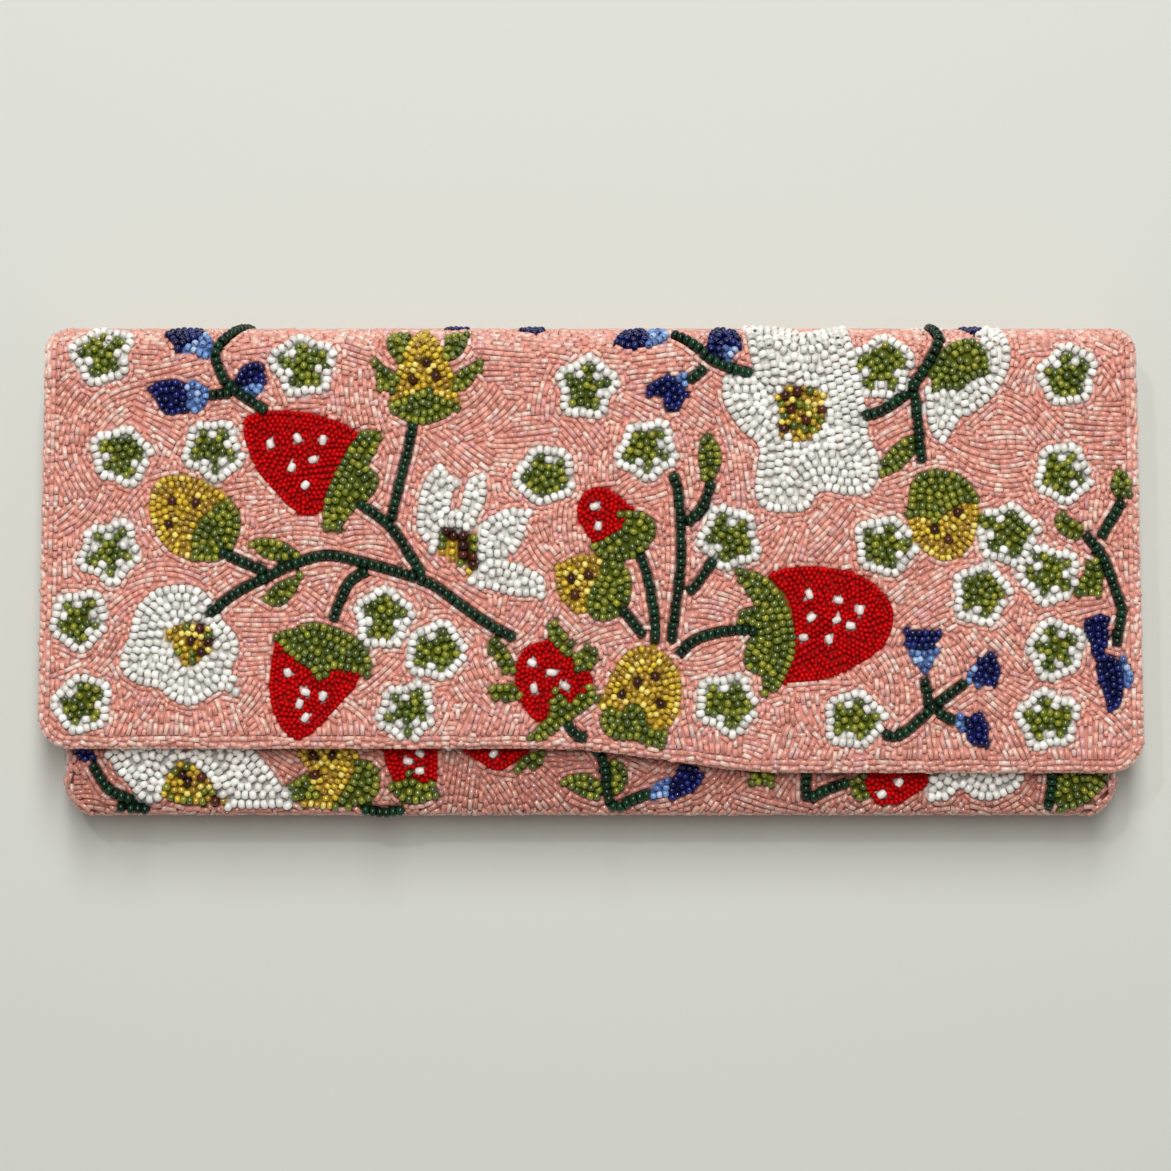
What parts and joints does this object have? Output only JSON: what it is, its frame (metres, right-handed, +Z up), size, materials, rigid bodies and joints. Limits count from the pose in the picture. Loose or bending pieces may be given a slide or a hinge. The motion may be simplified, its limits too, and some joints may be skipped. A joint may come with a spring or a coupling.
{
  "type": "clutch purse",
  "caption": "Fold-over clutch purse covered in glass beadwork, with a stiffened flap over a satin-lined pocket and a magnetic snap.",
  "frame": {"origin": "middle of the closed purse's footprint, on the surface it lies on", "axes": "+X along the purse's width, +Y towards the fold, +Z up out of the flap"},
  "size_m": [0.282, 0.1252, 0.0266],
  "materials": {
    "glass_beads": "sewn glass beads, pink ground with a coloured fruit and flower pattern",
    "satin_lining": "woven satin",
    "padding": "soft felted wadding",
    "card_board": "dense grey-brown bag board",
    "snap_metal": "polished gold-tone plate",
    "magnet": "dark nickelled magnet"
  },
  "bodies": {
    "back": {"back_beadwork": "glass_beads", "back_padding": "padding", "back_board": "card_board", "back_lining": "satin_lining", "slip_pocket": "satin_lining", "slip_pocket_binding": "satin_lining", "gusset_left": "satin_lining", "gusset_right": "satin_lining"},
    "front": {"base_beadwork": "glass_beads", "base_board": "card_board", "base_lining": "satin_lining", "front_beadwork": "glass_beads", "front_padding": "padding", "front_board": "card_board", "front_lining": "satin_lining", "mouth_edge_beading": "glass_beads", "snap_cap": "snap_metal", "snap_magnet": "magnet", "snap_plate": "snap_metal", "snap_washer": "snap_metal"},
    "fold_lower": {"fold_lower_beadwork": "glass_beads", "fold_lower_lining": "satin_lining"},
    "fold_middle": {"fold_middle_beadwork": "glass_beads", "fold_middle_lining": "satin_lining"},
    "fold_upper": {"fold_upper_beadwork": "glass_beads", "fold_upper_lining": "satin_lining"},
    "flap": {"flap_beadwork": "glass_beads", "flap_edge_beading": "glass_beads", "flap_padding": "padding", "flap_board": "card_board", "flap_lining": "satin_lining", "snap_stud": "snap_metal", "snap_stud_washer": "snap_metal"}
  },
  "joints": [
    {"name": "fold_lower_crease", "type": "hinge", "parent": "back", "child": "fold_lower", "pos_m": [0, 0.05415, 0.0016], "axis": [-1, 0, 0], "range_deg": [0, 45]},
    {"name": "fold_middle_crease", "type": "hinge", "parent": "fold_lower", "child": "fold_middle", "pos_m": [0, 0.061, 0.00845], "axis": [-1, 0, 0], "range_deg": [0, 45]},
    {"name": "fold_upper_crease", "type": "hinge", "parent": "fold_middle", "child": "fold_upper", "pos_m": [0, 0.061, 0.01815], "axis": [-1, 0, 0], "range_deg": [0, 45]},
    {"name": "flap_crease", "type": "hinge", "parent": "fold_upper", "child": "flap", "pos_m": [0, 0.05415, 0.025], "axis": [-1, 0, 0], "range_deg": [0, 45]},
    {"name": "mouth", "type": "hinge", "parent": "back", "child": "front", "pos_m": [0, -0.061, 0.0016], "axis": [1, 0, 0], "range_deg": [0, 15], "deforming": ["gusset_left", "gusset_right"]}
  ],
  "couplings": [
    {"joint": "fold_middle_crease", "follows": "fold_lower_crease", "ratio": 1},
    {"joint": "fold_upper_crease", "follows": "fold_lower_crease", "ratio": 1},
    {"joint": "flap_crease", "follows": "fold_lower_crease", "ratio": 1},
    {"joint": "mouth", "follows": "fold_lower_crease", "ratio": 0.33333}
  ]
}
